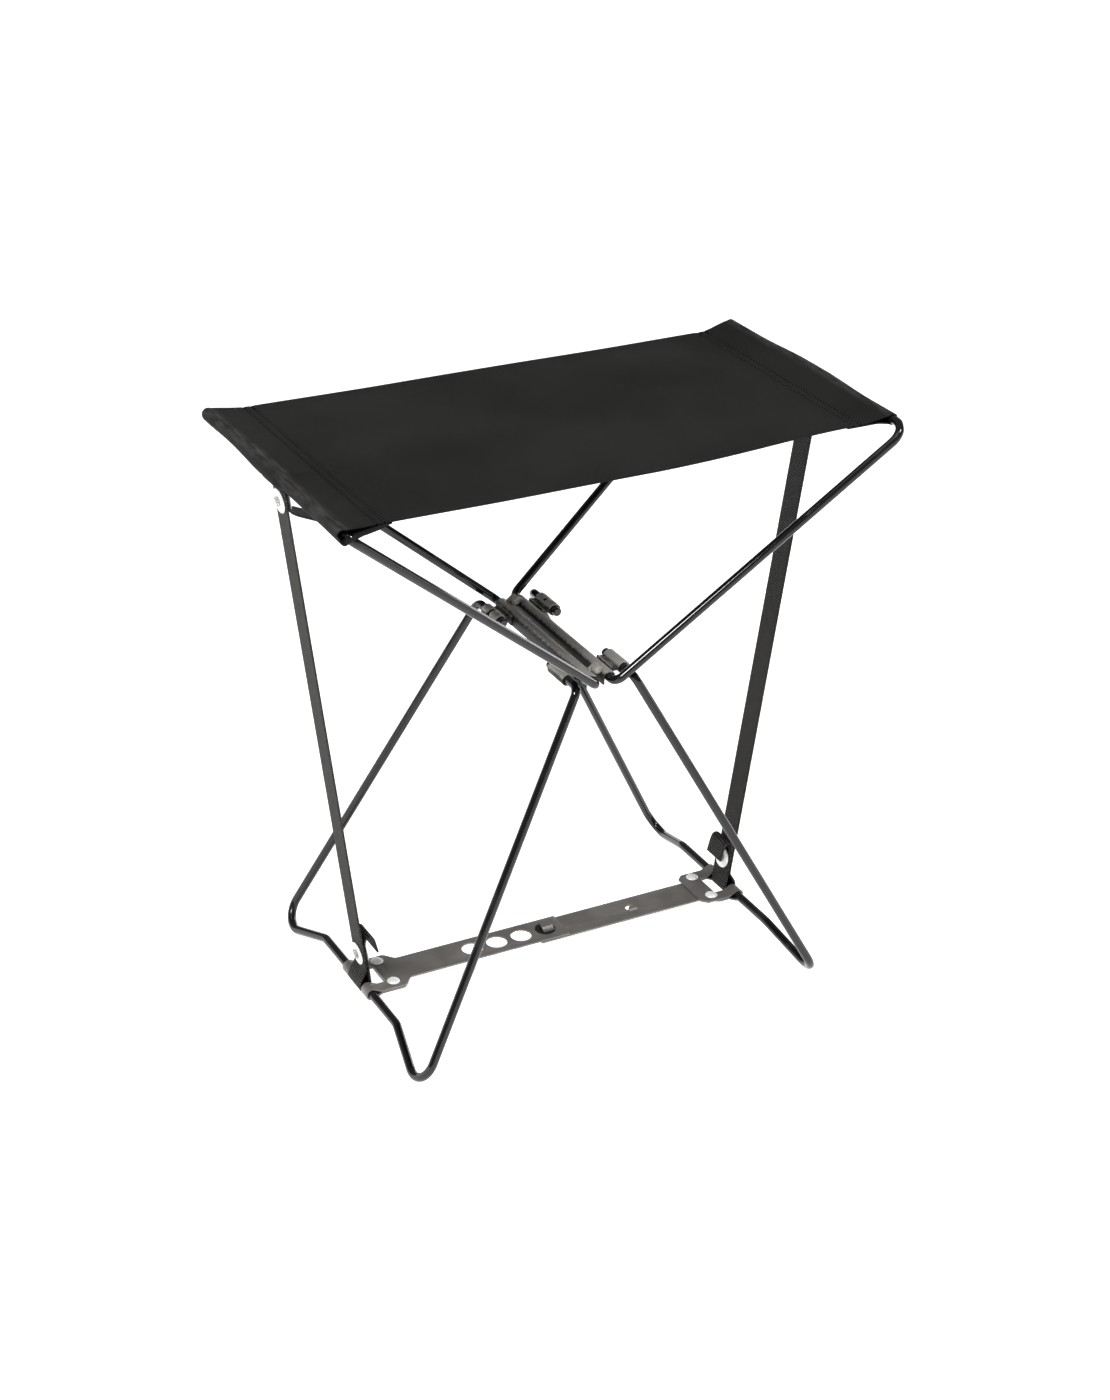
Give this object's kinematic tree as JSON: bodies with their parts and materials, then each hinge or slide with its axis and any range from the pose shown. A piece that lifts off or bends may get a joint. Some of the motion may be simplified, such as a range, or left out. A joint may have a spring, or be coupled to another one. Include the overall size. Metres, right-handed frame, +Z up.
{
  "type": "camp stool",
  "caption": "Folding camp stool: wire seat and leg loops round a central hinge, a stretched fabric seat, side straps and a hooked flat link near the floor.",
  "frame": {"origin": "on the floor under the middle of the seat, which is the bottom centre of the bounding box", "axes": "+Z up, +X to the stool's right, from the left rails to the right rails, +Y to the back, along the rails"},
  "size_m": [0.4002, 0.2308, 0.4008],
  "materials": {
    "wire": "gloss black enamel on steel wire",
    "hub": "satin dark grey-brown on pressed steel, worn on the crowns",
    "link": "satin dark grey on flat steel strip",
    "rivets": "bright zinc plate",
    "seat": "near-black plain-woven polyester canvas with a soft sheen",
    "webbing": "black ribbed webbing"
  },
  "bodies": {
    "left_seat": {"seat_frame_left": "wire", "hub_bar_left": "hub", "hub_pin_front": "rivets", "hub_pin_rear": "rivets", "leg_clip_front_left": "hub", "leg_clip_rear_left": "hub", "seat_fabric": "seat", "strap_left": "webbing", "strap_rivet_top_left": "rivets", "strap_washer_outer_top_left": "rivets", "strap_washer_inner_top_left": "rivets"},
    "right_seat": {"seat_frame_right": "wire", "hub_bar_right": "hub", "leg_clip_front_right": "hub", "leg_clip_rear_right": "hub", "strap_right": "webbing", "strap_rivet_top_right": "rivets", "strap_washer_outer_top_right": "rivets", "strap_washer_inner_top_right": "rivets"},
    "left_leg": {"leg_frame_left": "wire", "strap_rivet_bottom_left": "rivets", "strap_washer_outer_bottom_left": "rivets", "strap_washer_inner_bottom_left": "rivets"},
    "right_leg": {"leg_frame_right": "wire", "strap_rivet_bottom_right": "rivets", "strap_washer_outer_bottom_right": "rivets", "strap_washer_inner_bottom_right": "rivets"},
    "left_link": {"link_strip_left": "link", "link_rivet_front_left": "rivets", "link_rivet_rear_left": "rivets"},
    "right_link": {"link_strip_right": "link", "link_rivet_front_right": "rivets", "link_rivet_rear_right": "rivets", "link_hook": "link"}
  },
  "joints": [
    {"name": "seat_hinge", "type": "hinge", "parent": "left_seat", "child": "right_seat", "pos_m": [0, 0, 0.24682], "axis": [0, -1, 0], "range_deg": [0, 100], "deforming": ["seat_fabric"]},
    {"name": "left_leg_hinge", "type": "hinge", "parent": "left_seat", "child": "left_leg", "pos_m": [-0.0205, 0, 0.24332], "axis": [0, 1, 0], "range_deg": [0, 97], "deforming": ["strap_left"]},
    {"name": "right_leg_hinge", "type": "hinge", "parent": "right_seat", "child": "right_leg", "pos_m": [0.0205, 0, 0.24332], "axis": [0, -1, 0], "range_deg": [0, 97], "deforming": ["strap_right"]},
    {"name": "left_link_hinge", "type": "hinge", "parent": "left_leg", "child": "left_link", "pos_m": [-0.14386, 0, 0.01541], "axis": [0, -1, 0], "range_deg": [0, 57]},
    {"name": "right_link_hinge", "type": "hinge", "parent": "right_leg", "child": "right_link", "pos_m": [0.14386, 0, 0.01541], "axis": [0, 1, 0], "range_deg": [0, 57]}
  ],
  "couplings": [
    {"joint": "left_leg_hinge", "follows": "seat_hinge", "ratio": 0.964},
    {"joint": "right_leg_hinge", "follows": "seat_hinge", "ratio": 0.964},
    {"joint": "left_link_hinge", "follows": "seat_hinge", "ratio": 0.564},
    {"joint": "right_link_hinge", "follows": "seat_hinge", "ratio": 0.564}
  ]
}
